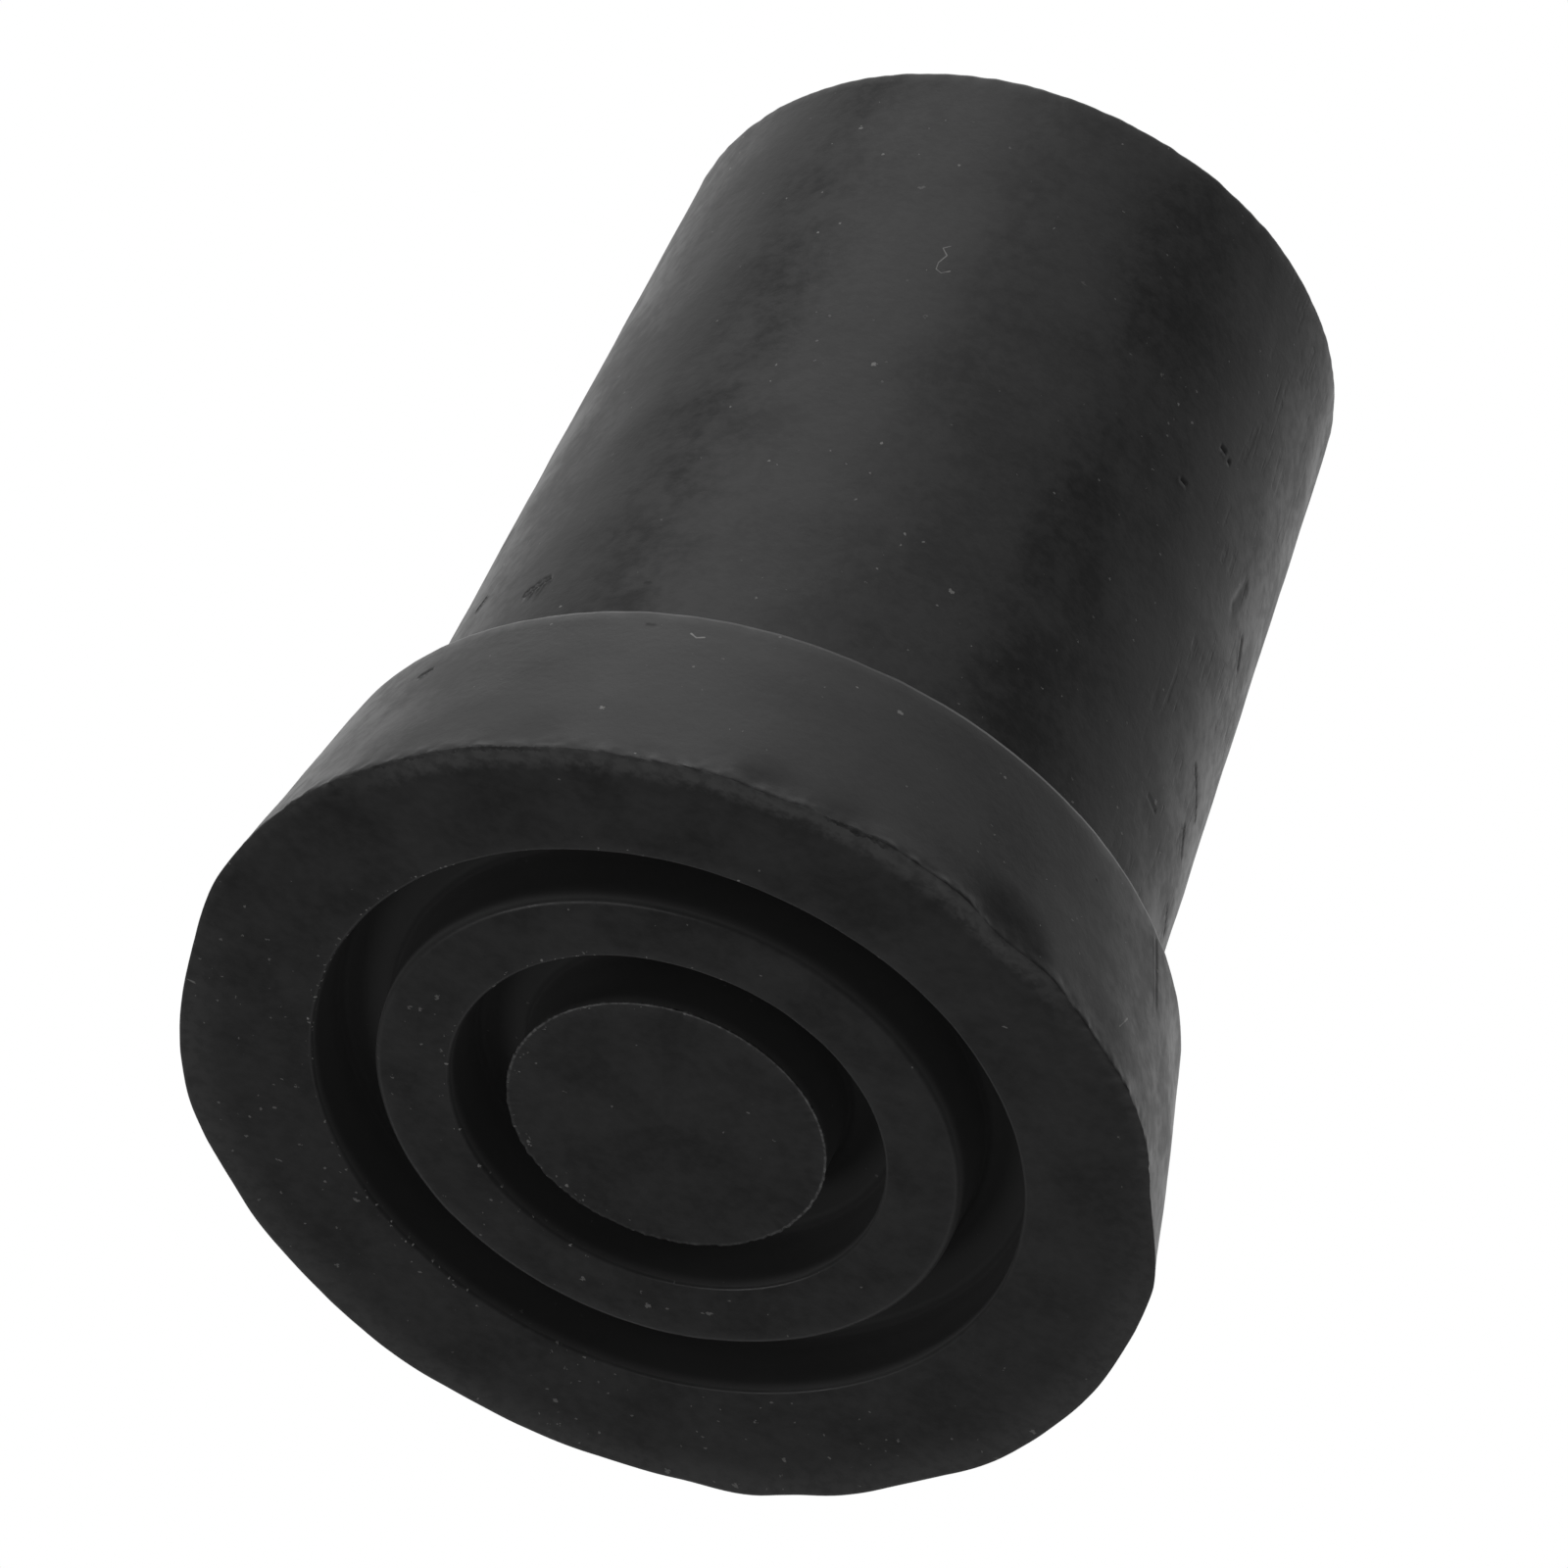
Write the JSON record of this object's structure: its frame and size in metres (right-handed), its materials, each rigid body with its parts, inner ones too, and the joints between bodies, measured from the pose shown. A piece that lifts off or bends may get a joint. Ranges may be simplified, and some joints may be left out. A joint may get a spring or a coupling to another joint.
{
  "type": "endpin rubber tip",
  "caption": "Moulded rubber tip for an endpin rod: a tapered sleeve with a blind socket on a wide conical foot, with ring grooves in its floor face.",
  "frame": {"origin": "centre of the floor face, on the axis of the tip", "axes": "+Z along the axis, from the floor face to the mouth of the socket; X and Y are any two directions across it, because the tip is round"},
  "size_m": [0.032, 0.032, 0.0375],
  "materials": {
    "rubber": "matt to satin black moulded rubber"
  },
  "bodies": {
    "root": {"rubber_tip": "rubber"}
  },
  "joints": []
}
